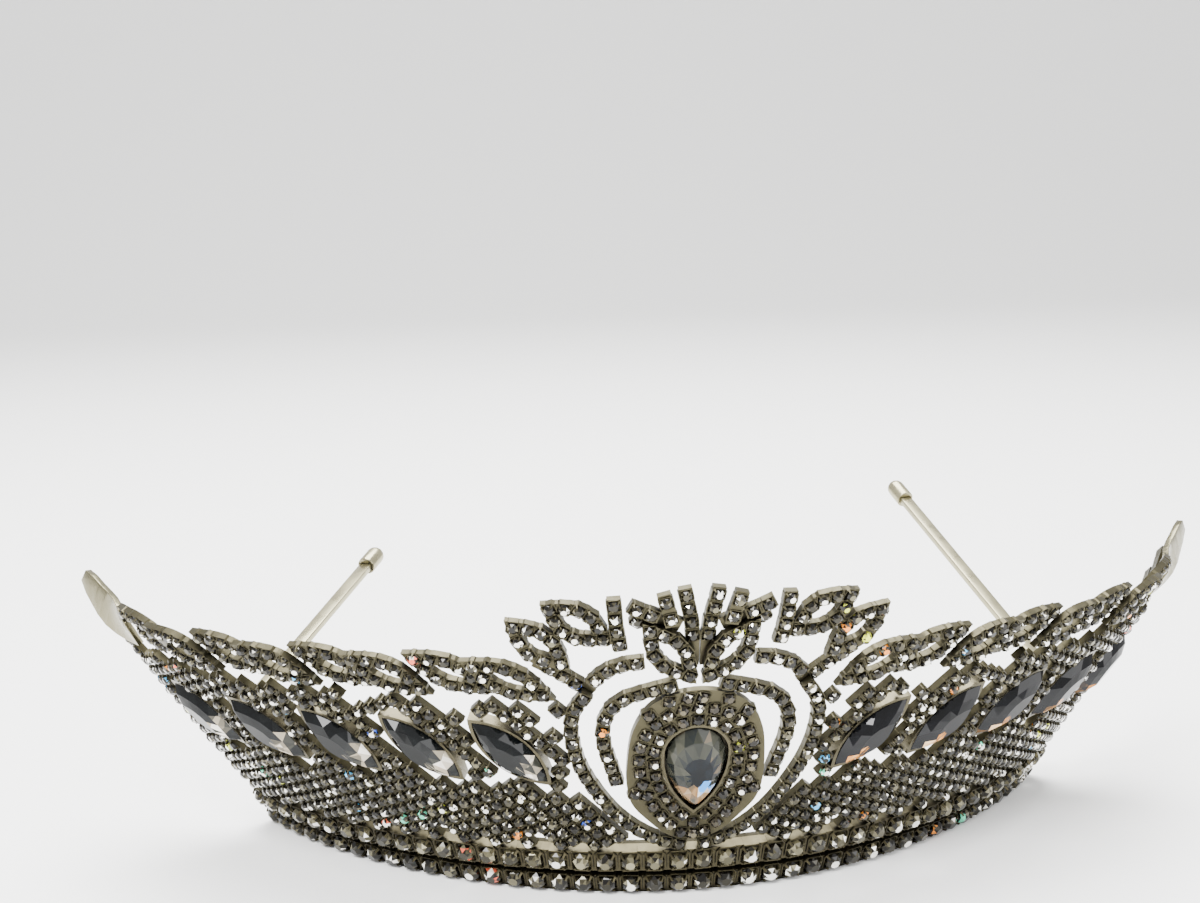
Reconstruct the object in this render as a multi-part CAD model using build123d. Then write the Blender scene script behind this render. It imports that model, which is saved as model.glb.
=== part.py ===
from build123d import *
import os
from math import atan2, cos, hypot, pi, sin, tan

# Bridal tiara of chained rhinestone cups, soldered edge to edge into a wall that bends
# round the head and flares outwards.  Millimetres, +Z up, front towards -Y, origin at
# the middle of the flat underside at the front.  A place on the wall is (s, h): s along
# the foot from the middle of the front, h up the slope.  The right half is modelled,
# and the left half is its mirror image.

# ---- the wall ----
HALF_LENGTH = 84.0          # middle of the front to the end of the two foot chains
CREST_HEIGHT = 59.0         # up the slope to the tips of the prongs
FRONT_BEND = 1.370          # turn of the foot line in radians, first term of the curve
SIDE_EASE = -0.995          # third-power term: the sides run straighter
END_BEND = 1.051            # fifth-power term: the ends turn in again
BEND_SPAN = 100.0           # length over which the three bend terms are given
FRONT_LEAN = 0.322          # outward lean at the front, radians from upright
SIDE_LEAN = 0.536           # what the lean gains towards the sides
END_LEAN = -0.332           # and gives back near the ends
FOOT_STEP = 0.5             # step of the sum that lays out the foot line

# ---- cups, chains and stones ----
FOOT_CUP = 3.84             # pitch of the large cups in the two foot chains
FOOT_CHAIN_HEIGHT = 3.5     # lower foot chain, up the slope
CHAIN_GAP = 1.1             # dark line between the two foot chains
TOP_CHAIN_HEIGHT = 4.2      # upper foot chain
CHAIN_DEPTH = 1.8           # thickness of the foot chains
FOOT_TRIM = 0.6             # cut off the lower foot chain to leave its underside flat
BAND_THICKNESS = 0.8        # flat band behind both foot chains
SMALL_CUP = 2.35            # pitch of the small cups everywhere else
STRIP_WIDTH = 2.1           # width of a small cup chain
STRIP_DEPTH = 1.1           # thickness of a small cup chain
FOOT_STONE = 3.0            # stone across, foot chains
SMALL_STONE = 1.9           # stone across, small chains
LOWER_STONES = FOOT_CHAIN_HEIGHT / 2 + 0.3     # they sit a little high: the foot is trimmed
STONE_RISE = 0.8            # how far a stone stands above its chain
SEAT = 0.05                 # solder line between a stone and its chain

# ---- navettes ----
NAVETTES = 5                # on each side
NAVETTE_LENGTH = 15.6
NAVETTE_WIDTH = 6.3
NAVETTE_RISE = 2.0
NAVETTE_FIRST = (21.3, 23.4)    # inner tip of the first navette
NAVETTE_STEP = (13.1, 0.32)     # from one navette to the next
NAVETTE_RUN = (9.4, 11.7)       # inner tip to outer tip
CUP_WALL = 0.45             # sheet of the large setting cups
CUP_DEPTH = 2.0
CUP_FLOOR = 0.5
CUP_PLAY = 0.05             # between a large stone and its cup

# ---- pear stone and its surround ----
PEAR_LENGTH = 16.4
PEAR_WIDTH = 10.0
PEAR_TIP = 17.1             # height of its point
PEAR_RISE = 3.0
FLANK_BULGE = 0.80          # width half way up to the round part, as a share of the full width
POINT_GROWTH = 1.5          # how much faster than the flanks the point moves as the outline grows
TABLE_INSET = 0.25          # flat top of a pear, set in by this share of its width
SURROUND_ROWS = 6           # rows of small stones that follow the pear, where they fit
FILL_STEPS = 4              # places tried per cup where stones fill what the rows leave

# ---- legs ----
LEG_WIDTH = 2.4
LEG_THICKNESS = 1.2
LEG_NAVETTE = 3             # counted from 0: the legs are soldered behind this navette's cups
LEG_SEATS = {"left": 5.0, "right": 0.0}     # from the middle of that cup, towards its outer tip
LEG_TIPS = {"left": (-52.0, 57.0, 44.5), "right": (54.0, 66.0, 51.5)}
PAD_LENGTH = 6.0
PAD_WIDTH = 4.2
PAD_THICKNESS = 0.8
CAP_LENGTH = 6.5
CAP_WIDTH = 3.4
CAP_BARREL = 0.6            # straight part of a cap, as a share of its length

# ---- derived ----
TOP_CHAIN_LOW = FOOT_CHAIN_HEIGHT + CHAIN_GAP
LONGEST_WALL = 2 * HALF_LENGTH      # the foot line is laid out this far
BAND_TOP = TOP_CHAIN_LOW + TOP_CHAIN_HEIGHT
DRAWN_LENGTH = 84.0         # the pattern below is drawn for this length
DRAWN_BAND_TOP = 8.8        # and for this top of the foot chains
DRAWN_CREST = 59.0          # and this crest
FOOT_CUPS = int(HALF_LENGTH / FOOT_CUP + 0.5)
FRONT = 0.0                 # front layer of small chains
BEHIND = -STRIP_DEPTH - SEAT    # second layer, behind the first
SMALL_HALF = STRIP_WIDTH / 2
os.makedirs("parts", exist_ok=True)


def heading(s):
    """Direction of the foot line, radians from +X, at s along it."""
    u = s / BEND_SPAN
    return FRONT_BEND * u + SIDE_EASE * u ** 3 + END_BEND * u ** 5


def lean(s):
    """Outward lean of the wall, radians from upright."""
    u = s / BEND_SPAN
    return FRONT_LEAN + SIDE_LEAN * u ** 2 + END_LEAN * u ** 4


def foot_line():
    """Places along the foot, one every FOOT_STEP."""
    x, y = 0.0, 0.0
    places = [(x, y)]
    for i in range(int(LONGEST_WALL / FOOT_STEP)):
        middle = heading((i + 0.5) * FOOT_STEP)
        x += FOOT_STEP * cos(middle)
        y += FOOT_STEP * sin(middle)
        places.append((x, y))
    return places


FOOT = foot_line()
FOOT_MIDDLE = CHAIN_DEPTH / cos(FRONT_LEAN) / 2     # half the flat underside at the front


def foot(s):
    """(x, y) of the foot line at s."""
    i = int(s / FOOT_STEP)
    part = s / FOOT_STEP - i
    (x0, y0), (x1, y1) = FOOT[i], FOOT[i + 1]
    return x0 + (x1 - x0) * part, y0 + (y1 - y0) * part - FOOT_MIDDLE


def wall_point(s, h, out=0.0):
    """Point of the right half, out in front of the wall's face."""
    side = -1.0 if s < 0 else 1.0
    x, y = foot(abs(s))
    turn, tilt = heading(abs(s)), lean(abs(s))
    reach = h * sin(tilt) + out * cos(tilt)
    return Vector(side * (x + reach * sin(turn)), y - reach * cos(turn),
                  h * cos(tilt) - out * sin(tilt))


def wall_plane(s, h, out=0.0, towards=None):
    """Plane on the wall, its x axis towards another place on it."""
    origin = wall_point(s, h, out)
    aim = wall_point(s + 1.0, h, out) if towards is None else wall_point(*towards, out)
    up = wall_point(s, h + 1.0, out) - origin
    along = wall_point(s + 1.0, h, out) - origin
    return Plane(origin=origin, x_dir=aim - origin, z_dir=along.cross(up))


def stretch(s, h):
    """How much longer the flared wall is at h than at the foot."""
    return (wall_point(s + 1.0, h) - wall_point(s, h)).length


def drawn(s, h):
    """Place of a point of the pattern on this wall."""
    rise = (CREST_HEIGHT - BAND_TOP) / (DRAWN_CREST - DRAWN_BAND_TOP)
    return s * HALF_LENGTH / DRAWN_LENGTH, BAND_TOP + (h - DRAWN_BAND_TOP) * rise


def drawn_path(*points):
    """Smooth path through points of the pattern."""
    spline = Spline(*[(*drawn(s, h), 0) for s, h in points])
    pieces = max(3, int(spline.length / SMALL_CUP + 0.5))
    return [(p.X, p.Y) for p in (spline @ (i / pieces) for i in range(pieces + 1))]


# ---- chains ----
def chain(outer, inner, top=FRONT, depth=STRIP_DEPTH):
    """Solid strip between two edge lines on the wall."""
    wires = []
    for (s0, h0), (s1, h1) in zip(outer, inner):
        back = wall_plane((s0 + s1) / 2, (h0 + h1) / 2).z_dir * -depth
        a, b = wall_point(s0, h0, top), wall_point(s1, h1, top)
        wires.append(Wire.make_polygon([a, b, b + back, a + back], close=True))
    return Solid.make_loft(wires, ruled=True)


def strip(path, top=FRONT, width=STRIP_WIDTH):
    """Strip of one width along a path of places."""
    outer, inner = [], []
    for i, (s, h) in enumerate(path):
        s0, h0 = path[max(i - 1, 0)]
        s1, h1 = path[min(i + 1, len(path) - 1)]
        wide = stretch(s, h)
        ds, dh = (s1 - s0) * wide, h1 - h0
        run = hypot(ds, dh)
        across = (-dh / run * width / 2 / wide, ds / run * width / 2)
        outer.append((s + across[0], h + across[1]))
        inner.append((s - across[0], h - across[1]))
    return chain(outer, inner, top)


def spots(path, pitch=SMALL_CUP, first=0.5):
    """Stone places, evenly spread along a path; the first lies that share of a pitch in."""
    runs = [hypot((b[0] - a[0]) * stretch(*a), b[1] - a[1]) for a, b in zip(path, path[1:])]
    total = sum(runs)
    count = max(1, int(total / pitch + 0.5))
    found = []
    for k in range(count):
        target = (k + first) * total / count
        i = 0
        while i < len(runs) - 1 and target > runs[i]:
            target -= runs[i]
            i += 1
        part = target / runs[i]
        (s0, h0), (s1, h1) = path[i], path[i + 1]
        found.append((s0 + (s1 - s0) * part, h0 + (h1 - h0) * part))
    return found


def stone_master(across):
    """One round stone: girdle below, table above."""
    return Solid.make_cone(across / 2, across / 4, STONE_RISE)


SMALL = stone_master(SMALL_STONE)
LARGE = stone_master(FOOT_STONE)


def stones(places, master=SMALL, top=FRONT):
    """Copies of a stone, each square to the wall."""
    return [master.moved(wall_plane(s, h, top + SEAT).location) for s, h in places]


def apart(places, taken=(), least=SMALL_STONE):
    """Places that are clear of each other and of those already taken."""
    kept = []
    for s, h in places:
        wide = stretch(s, h)
        if all(hypot((s - a) * wide, h - b) > least for a, b in list(taken) + kept):
            kept.append((s, h))
    return kept


def uncovered(path, covered):
    """Stone places on a strip of the second layer, where no strip of the first hides it."""
    reach = SMALL_HALF + SMALL_STONE / 2
    fine = [(s, h) for s, h in spots(path, SMALL_STONE / 4)
            if all(hypot((s - a) * stretch(s, h), h - b) > reach for a, b in covered)]
    return apart(fine, least=SMALL_CUP - 2 * SEAT)


# ---- leaves: two bowed arms that meet in mitred tips ----
LEAF_STEPS = 8


def leaf_mitre(bow, length):
    """How far a leaf's mitred corner stands beyond its tip."""
    return SMALL_HALF / sin(atan2(pi * bow, length))


def leaf_arm(tip_a, tip_b, bow, way):
    """Edges and middle line of one arm of a leaf."""
    wide = stretch((tip_a[0] + tip_b[0]) / 2, (tip_a[1] + tip_b[1]) / 2)
    ds, dh = (tip_b[0] - tip_a[0]) * wide, tip_b[1] - tip_a[1]
    length = hypot(ds, dh)
    axis = (ds / length, dh / length)
    normal = (-axis[1] * way, axis[0] * way)
    mitre = leaf_mitre(bow, length)
    outer, inner, middle = [], [], []
    for i in range(LEAF_STEPS + 1):
        t = i / LEAF_STEPS
        swell = bow * sin(pi * t)
        slope = atan2(pi * bow * cos(pi * t), length)
        lift = SMALL_HALF * cos(slope)
        slide = -SMALL_HALF * sin(slope)
        if i in (0, LEAF_STEPS):
            lift = 0.0
            slide = -mitre if i == 0 else mitre
        for line, sign in ((outer, 1), (middle, 0), (inner, -1)):
            u = t * length + slide * sign
            v = swell + lift * sign
            line.append((tip_a[0] + (axis[0] * u + normal[0] * v) / wide,
                         tip_a[1] + axis[1] * u + normal[1] * v))
    return outer, inner, middle


def leaf(tip_a, tip_b, bow, top=FRONT):
    """Both arms of a leaf, and the places of their stones."""
    arms, places = [], [tip_b]
    for way in (1, -1):
        outer, inner, middle = leaf_arm(tip_a, tip_b, bow, way)
        arms.append(chain(outer, inner, top))
        places += spots(middle, first=0.0)
    return arms, stones(apart(places), top=top)


# ---- foot ----
def foot_chain_right():
    """Lower cup chain with its underside cut flat, so that the tiara stands on it."""
    wires = []
    for i in range(FOOT_CUPS + 1):
        s = i * FOOT_CUP
        under = -CHAIN_DEPTH * tan(lean(s)) - FOOT_TRIM
        corners = [wall_point(s, -FOOT_TRIM), wall_point(s, FOOT_CHAIN_HEIGHT),
                   wall_point(s, FOOT_CHAIN_HEIGHT, -CHAIN_DEPTH),
                   wall_point(s, under, -CHAIN_DEPTH)]
        wires.append(Wire.make_polygon(corners, close=True))
    whole = Solid.make_loft(wires, ruled=True)
    size = whole.bounding_box().size
    table = Box(4 * size.X, 4 * size.Y, 2 * FOOT_CHAIN_HEIGHT).moved(Pos(0, 0, -FOOT_CHAIN_HEIGHT))
    return (whole - table).solid()


def top_chain_right():
    """Upper cup chain, above the dark line."""
    steps = [i * FOOT_CUP for i in range(FOOT_CUPS + 1)]
    low = [(s, TOP_CHAIN_LOW) for s in steps]
    high = [(s, BAND_TOP) for s in steps]
    return chain(high, low, FRONT, CHAIN_DEPTH)


def foot_band_right():
    """Flat band that both foot chains are soldered to."""
    steps = [i * FOOT_CUP for i in range(FOOT_CUPS + 1)]
    low = [(s, CHAIN_DEPTH) for s in steps]
    high = [(s, BAND_TOP) for s in steps]
    return chain(high, low, -CHAIN_DEPTH - SEAT, BAND_THICKNESS)


def foot_stones(height):
    """One large stone in each cup of a foot chain, on the right."""
    return stones([((i + 0.5) * FOOT_CUP, height) for i in range(FOOT_CUPS)], LARGE)


# ---- pattern of the front, right half ----
TULIP = drawn_path((0.9, 9.9), (4.6, 10.9), (8.4, 13.4), (11.7, 17.0), (14.1, 21.2),
                   (16.2, 26.5), (17.0, 31.5), (16.9, 35.5), (15.9, 38.6), (14.4, 40.6))
RING = drawn_path((11.1, 22.6), (11.7, 26.0), (12.5, 29.5), (12.8, 33.0), (12.1, 36.6),
                  (10.2, 39.2), (7.6, 40.4), (4.8, 41.3), (2.8, 41.9))
SURROUND = ((0.0, 40.7), (3.4, 40.1), (6.3, 38.3), (8.0, 35.6), (9.1, 32.2), (9.6, 28.3),
            (9.8, 22.6), (9.1, 18.9), (6.7, 15.3), (5.3, 13.6), (3.9, 12.3), (0.0, 11.2))
SHOULDER = drawn_path((14.0, 39.8), (15.6, 41.6), (18.2, 44.0), (21.0, 46.2))
ARCH = drawn_path((13.9, 42.4), (12.2, 44.6), (9.6, 45.9), (7.0, 46.2))
KNOB_ARM = drawn_path((5.2, 54.3), (6.6, 55.0), (8.8, 56.4))
KNOB_POST = drawn_path((10.6, 57.8), (10.5, 55.0), (10.3, 51.6), (9.9, 48.6))
PRONG_IN = drawn_path((0.94, 44.6), (0.94, 49.0), (1.15, 52.6), (1.7, 55.6), (2.1, 58.4))
HEART_BAND = drawn_path((2.5, 51.9), (4.2, 52.9), (6.2, 53.3), (8.4, 53.0))
PRONG_OUT = drawn_path((3.6, 52.5), (3.9, 54.6), (4.3, 56.4), (4.7, 58.2))
HEART_LEAF = (drawn(1.3, 43.4), drawn(6.3, 51.8), 2.2)
HIGH_LEAF = (drawn(12.0, 50.8), drawn(18.2, 56.4), 2.4)
SIDE_LEAF = (drawn(17.4, 46.6), drawn(22.8, 53.4), 2.2)
EDGE_LEAVES = 8
EDGE_FIRST = (20.2, 40.6)
EDGE_STEP = (8.15, 0.55)
EDGE_RUN = (8.6, 5.6)
EDGE_BOW = 2.05


def edge_leaf_tips(i):
    """Inner and outer tip of edge leaf i."""
    s, h = EDGE_FIRST[0] + i * EDGE_STEP[0], EDGE_FIRST[1] + i * EDGE_STEP[1]
    return drawn(s, h), drawn(s + EDGE_RUN[0], h + EDGE_RUN[1])


def edge_leaves_right():
    """Leaves along the upper edge, laid one over the next like a rope."""
    arms, gems = [], []
    for i in range(EDGE_LEAVES):
        tip_a, tip_b = edge_leaf_tips(i)
        new_arms, new_gems = leaf(tip_a, tip_b, EDGE_BOW, BEHIND if i % 2 else FRONT)
        arms += new_arms
        gems += new_gems
    return arms, gems


# ---- navettes ----
def navette_tips(k):
    """Inner and outer tip of navette k."""
    s, h = NAVETTE_FIRST[0] + k * NAVETTE_STEP[0], NAVETTE_FIRST[1] + k * NAVETTE_STEP[1]
    return drawn(s, h), drawn(s + NAVETTE_RUN[0], h + NAVETTE_RUN[1])


def navette_plane(k, out):
    """Plane at the middle of navette k, its x axis along the stone."""
    (s0, h0), (s1, h1) = navette_tips(k)
    return wall_plane((s0 + s1) / 2, (h0 + h1) / 2, out, (s1, h1))


def navette_face(length, width):
    """Pointed oval of two arcs."""
    ends = ((-length / 2, 0), (length / 2, 0))
    upper = ThreePointArc(ends[0], (0, width / 2), ends[1])
    lower = ThreePointArc(ends[1], (0, -width / 2), ends[0])
    return make_face([upper, lower]).face()


def setting(outer, inner, depth, floor):
    """Cup of sheet metal with an open front."""
    shell = Solid.extrude(outer, Vector(0, 0, depth))
    pocket = Solid.extrude(inner, Vector(0, 0, depth)).moved(Pos(0, 0, floor))
    return (shell - pocket).solid()


def navette_cup(k):
    """Cup of navette k."""
    grow = 2 * (CUP_WALL + CUP_PLAY)
    outer = navette_face(NAVETTE_LENGTH + grow * 2, NAVETTE_WIDTH + grow)
    inner = navette_face(NAVETTE_LENGTH + CUP_PLAY * 4, NAVETTE_WIDTH + CUP_PLAY * 2)
    cup = setting(outer, inner, CUP_DEPTH, CUP_FLOOR)
    return cup.moved(navette_plane(k, -CUP_DEPTH).location)


def navette_stone(k):
    """Cut stone of navette k: a slab in the cup with a crown that stands out of it."""
    girdle = Pos(0, 0, CUP_FLOOR) * navette_face(NAVETTE_LENGTH, NAVETTE_WIDTH)
    slab = Solid.extrude(girdle, Vector(0, 0, CUP_DEPTH - CUP_FLOOR))
    crown_foot = Pos(0, 0, CUP_DEPTH) * navette_face(NAVETTE_LENGTH, NAVETTE_WIDTH)
    table = Pos(0, 0, CUP_DEPTH + NAVETTE_RISE) * navette_face(NAVETTE_LENGTH / 2, NAVETTE_WIDTH / 2)
    crown = Solid.make_loft([crown_foot.outer_wire(), table.outer_wire()], ruled=True)
    return (slab + crown).solid().moved(navette_plane(k, -CUP_DEPTH).location)


# ---- pear ----
def pear_half(out):
    """Right half of the pear's outline, grown by out: from its point to its top."""
    point = drawn(0, PEAR_TIP)[1]
    radius = PEAR_WIDTH / 2 + out
    low, middle = point - POINT_GROWTH * out, point + PEAR_LENGTH - PEAR_WIDTH / 2
    flank = (radius * FLANK_BULGE, (low + middle) / 2)
    crown = (radius * cos(pi / 4), middle + radius * sin(pi / 4))
    return [ThreePointArc((0, low), flank, (radius, middle)),
            ThreePointArc((radius, middle), crown, (0, middle + radius))]


def pear_face(out):
    """Round above, pointed below, grown by out all round."""
    right = pear_half(out)
    return make_face(right + [edge.mirror(Plane.YZ) for edge in right]).face()


def front_plane(out):
    """Plane of the front of the wall, with its origin at the foot."""
    return wall_plane(0.0, 0.0, out)


def pear_cup():
    """Cup of the pear stone."""
    cup = setting(pear_face(CUP_WALL + CUP_PLAY), pear_face(CUP_PLAY), CUP_DEPTH, CUP_FLOOR)
    return cup.moved(front_plane(-CUP_DEPTH).location)


def pear_stone():
    """Cut pear stone."""
    slab = Solid.extrude(Pos(0, 0, CUP_FLOOR) * pear_face(0.0), Vector(0, 0, CUP_DEPTH - CUP_FLOOR))
    crown_foot = Pos(0, 0, CUP_DEPTH) * pear_face(0.0)
    table = Pos(0, 0, CUP_DEPTH + PEAR_RISE) * pear_face(-PEAR_WIDTH * TABLE_INSET)
    crown = Solid.make_loft([crown_foot.outer_wire(), table.outer_wire()], ruled=True)
    return (slab + crown).solid().moved(front_plane(-CUP_DEPTH).location)


def surround_blank():
    """Outline of the plate round the pear: round above, a broad point below."""
    side = []
    for s, h in SURROUND:
        place_s, place_h = drawn(s, h)
        side.append((place_s * stretch(0.0, place_h), place_h))
    return make_face([Spline(*side), Spline(*[(-x, y) for x, y in side])]).face()


def surround_plate():
    """Plate round the pear cup that carries the rows of small stones."""
    plate = Solid.extrude(surround_blank(), Vector(0, 0, STRIP_DEPTH))
    hole = Solid.extrude(pear_face(CUP_WALL + 2 * CUP_PLAY), Vector(0, 0, STRIP_DEPTH))
    return (plate - hole).solid().moved(front_plane(-STRIP_DEPTH).location)


def surround_stones():
    """Rows of small stones that follow the pear, and more in the room they leave."""
    blank = surround_blank()
    rim = blank.outer_wire()

    def fits(x, y):
        return (blank.is_inside(Vector(x, y, 0))
                and rim.distance_to(Vector(x, y, 0)) > SMALL_STONE / 2)

    places = []
    for row in range(SURROUND_ROWS):
        half = Wire(pear_half(CUP_WALL + SMALL_CUP * (row + 0.5)))
        count = int(half.length / SMALL_CUP)
        for i in range(count + 1):
            p = half @ (i / count)
            sides = (1,) if i in (0, count) else (1, -1)
            places += [(p.X * side, p.Y) for side in sides if fits(p.X, p.Y)]
    size = blank.bounding_box()
    near_pear = pear_face(CUP_WALL + SMALL_CUP / 2)
    step = SMALL_CUP / FILL_STEPS
    for row in range(int(size.size.Y / step)):
        for i in range(int(size.max.X / step)):
            x, y = i * step, size.min.Y + row * step
            if fits(x, y) and not near_pear.is_inside(Vector(x, y, 0)):
                for side in (1, -1):
                    if all(hypot(x * side - a, y - b) > SMALL_STONE for a, b in places):
                        places.append((x * side, y))
    return [SMALL.moved(front_plane(SEAT).location * Pos(x, y, 0)) for x, y in places]


# ---- end tab's place ----
TAB_WIDTH = 6.6             # at its root
TAB_TAPER = (1.0, 1.0, 0.97, 0.90, 0.80, 0.70, 0.62, 0.38)      # shares of it, root to tip
TAB_WIDTHS = [TAB_WIDTH * share for share in TAB_TAPER]
TAB_ROOT = (0.6, -4.2)      # its root, from the tip of the last leaf
TAB_BEND = (5.0, -0.8)
TAB_TIP = (9.6, 5.2)
TAB_TURN = -45.0            # degrees from the wall towards the front, by half its length


def tab_path():
    """Middle line of the end tab, from the tip of the last leaf outwards."""
    tip_s, tip_h = edge_leaf_tips(EDGE_LEAVES - 1)[1]
    spline = Spline(*[(tip_s + s, tip_h + h, 0) for s, h in (TAB_ROOT, TAB_BEND, TAB_TIP)])
    last = len(TAB_WIDTHS) - 1
    return [(p.X, p.Y) for p in (spline @ (i / last) for i in range(last + 1))]


# ---- paved sides ----
ROWS_PER_NAVETTE = 5
PAVE_ROWS = 44
PAVE_FIRST = -6.0           # foot of the first row, measured as the pattern is drawn
BARE_ASIDE = 11.0           # the corner beside the foot of the pear has no paving
BARE_BELOW = 16.0
PAVE_SLACK = 0.1            # a paved strip is this much narrower than the others
PAVE_TOP = 39.0             # top of the rows on the near side of the first edge leaf
PAVE_CLEAR = CUP_WALL + CUP_PLAY + SMALL_HALF + 2 * SEAT    # cup's middle to a navette's girdle
LEAF_CLEAR = 1.6            # cup's middle to the edge of a leaf's arm
HOLES = ((29.9, 23.0, 2.0), (17.2, 22.4, 2.1), (8.2, 10.6, 2.0), (20.2, 34.8, 2.3),
         (34.4, 38.4, 2.4), (47.4, 38.8, 1.6), (24.6, 11.2, 1.3), (40.3, 11.2, 1.2))
END_RISE = ((83.0, 9.0), (96.0, 46.0))


TAB = tab_path()


def clear_of_path(s, h, path, margin):
    """True where (s, h) is at least margin from a path."""
    wide = stretch(s, h)
    return min(hypot((s - a) * wide, h - b) for a, b in path) > margin


def clear_of_oval(s, h, ends, length, width, margin):
    """True where a small cup fits beside a pointed oval that lies between two ends."""
    wide = stretch(s, h)
    (s0, h0), (s1, h1) = ends
    ds, dh = (s1 - s0) * wide, h1 - h0
    run = hypot(ds, dh)
    us, vs = (s - (s0 + s1) / 2) * wide, h - (h0 + h1) / 2
    along = (us * ds + vs * dh) / run
    across = abs(-us * dh + vs * ds) / run
    reach = length / 2 + margin
    return abs(along) > reach or across > width / 2 * cos(along / reach * pi / 2) + margin


def clear_of_navettes(s, h):
    """True where a small cup fits beside every navette cup."""
    return all(clear_of_oval(s, h, navette_tips(k), NAVETTE_LENGTH, NAVETTE_WIDTH, PAVE_CLEAR)
               for k in range(NAVETTES))


def below_edge_leaves(s, h):
    """True where a small cup fits under every edge leaf."""
    if s < edge_leaf_tips(0)[0][0]:
        return h < drawn(0, PAVE_TOP)[1]
    for i in range(EDGE_LEAVES):
        (s0, h0), (s1, h1) = edge_leaf_tips(i)
        wide = stretch((s0 + s1) / 2, (h0 + h1) / 2)
        ds, dh = (s1 - s0) * wide, h1 - h0
        length = hypot(ds, dh)
        u = ((s - s0) * wide * ds + (h - h0) * dh) / length
        v = ((h - h0) * ds - (s - s0) * wide * dh) / length
        beyond, mitre = max(0.0, -u, u - length), leaf_mitre(EDGE_BOW, length)
        if beyond < mitre + SMALL_HALF:
            swell = EDGE_BOW * sin(pi * min(1.0, max(0.0, u / length)))
            arm = SMALL_HALF * max(0.0, 1.0 - beyond / mitre)
            if v > -(swell + arm + LEAF_CLEAR):
                return False
    return h < edge_leaf_tips(EDGE_LEAVES - 1)[1][1]


def paved(s, h):
    """True where the pattern has a small cup of the paved sides."""
    wide = stretch(s, h)
    if s < drawn(BARE_ASIDE, 0)[0] and h < drawn(0, BARE_BELOW)[1]:
        return False
    if not clear_of_path(s, h, TULIP, STRIP_WIDTH):
        return False
    nearest = min(TULIP, key=lambda p: abs(p[1] - h))
    if s < nearest[0] or not below_edge_leaves(s, h):
        return False
    for hole_s, hole_h, radius in HOLES:
        middle = drawn(hole_s, hole_h)
        if hypot((s - middle[0]) * wide, h - middle[1]) < radius:
            return False
    (s0, h0), (s1, h1) = drawn(*END_RISE[0]), drawn(*END_RISE[1])
    if s > s0 and h < h0 + (h1 - h0) * (s - s0) / (s1 - s0) + STRIP_WIDTH:
        return False
    if not clear_of_path(s, h, TAB, TAB_WIDTH / 2 + SMALL_HALF + SEAT):
        return False
    return s < s1 and clear_of_navettes(s, h)


def pave_rows_right():
    """Slanted rows of small cups that fill the sides, parallel to the navettes."""
    (s0, h0), (s1, h1) = navette_tips(0)
    pitch = drawn(NAVETTE_STEP[0], 0)[0] / ROWS_PER_NAVETTE
    bars, gems = [], []
    run = hypot((s1 - s0) * stretch(s0, h0), h1 - h0)
    step = ((s1 - s0) / run * SMALL_CUP, (h1 - h0) / run * SMALL_CUP)
    lowest = BAND_TOP + SMALL_CUP * 0.6
    cups = int((edge_leaf_tips(EDGE_LEAVES - 1)[1][1] - lowest) / step[1]) + 1
    for row in range(PAVE_ROWS):
        kept = []
        start = drawn(PAVE_FIRST, 0)[0] + row * pitch
        for i in range(cups):
            k = i + 0.5 * (row % 2)
            s, h = start + k * step[0], lowest + k * step[1]
            if s > 0 and paved(s, h):
                kept.append((s, h))
            elif kept:
                bars.append(pave_bar(kept, step))
                gems += stones(kept)
                kept = []
        if kept:
            bars.append(pave_bar(kept, step))
            gems += stones(kept)
    return bars, gems


def pave_bar(kept, step):
    """Strip under one run of cups."""
    first = (kept[0][0] - step[0] / 2, kept[0][1] - step[1] / 2)
    last = (kept[-1][0] + step[0] / 2, kept[-1][1] + step[1] / 2)
    return strip([first] + kept + [last], width=STRIP_WIDTH - PAVE_SLACK)


# ---- ends and legs ----
def end_tab():
    """Cast tab that turns to the front and narrows to a rounded tip, where the right wing ends."""
    wires, last = [], len(TAB) - 1
    for i, (place, width) in enumerate(zip(TAB, TAB_WIDTHS)):
        run = wall_point(*TAB[min(i + 1, last)]) - wall_point(*TAB[max(i - 1, 0)])
        turn = TAB_TURN * min(1.0, 2 * i / last)
        face = wall_plane(*place).z_dir.rotate(Axis((0, 0, 0), run), turn)
        across = face.cross(run).normalized() * (width / 2)
        back = across.cross(run).normalized() * STRIP_DEPTH
        middle = wall_point(*place, FRONT)
        a, b = middle + across, middle - across
        wires.append(Wire.make_polygon([a, b, b + back, a + back], close=True))
    return Solid.make_loft(wires, ruled=True)


def leg_line(side):
    """Root and tip of a leg, and its direction."""
    back = navette_plane(LEG_NAVETTE, -CUP_DEPTH - SEAT - PAD_THICKNESS)
    root = back.from_local_coords((LEG_SEATS[side], 0, 0))
    root = Vector(-root.X, root.Y, root.Z) if side == "left" else root
    tip = Vector(*LEG_TIPS[side])
    return root, tip, (tip - root).normalized()


def leg(side):
    """Flat spring strip from the back of the wall to its cap."""
    root, tip, way = leg_line(side)
    length = (tip - root).length
    plane = Plane(origin=root, x_dir=Vector(0, 0, 1).cross(way), z_dir=way)
    return Solid.make_box(LEG_WIDTH, LEG_THICKNESS, length).moved(
        plane.location * Pos(-LEG_WIDTH / 2, -LEG_THICKNESS / 2, 0))


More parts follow.
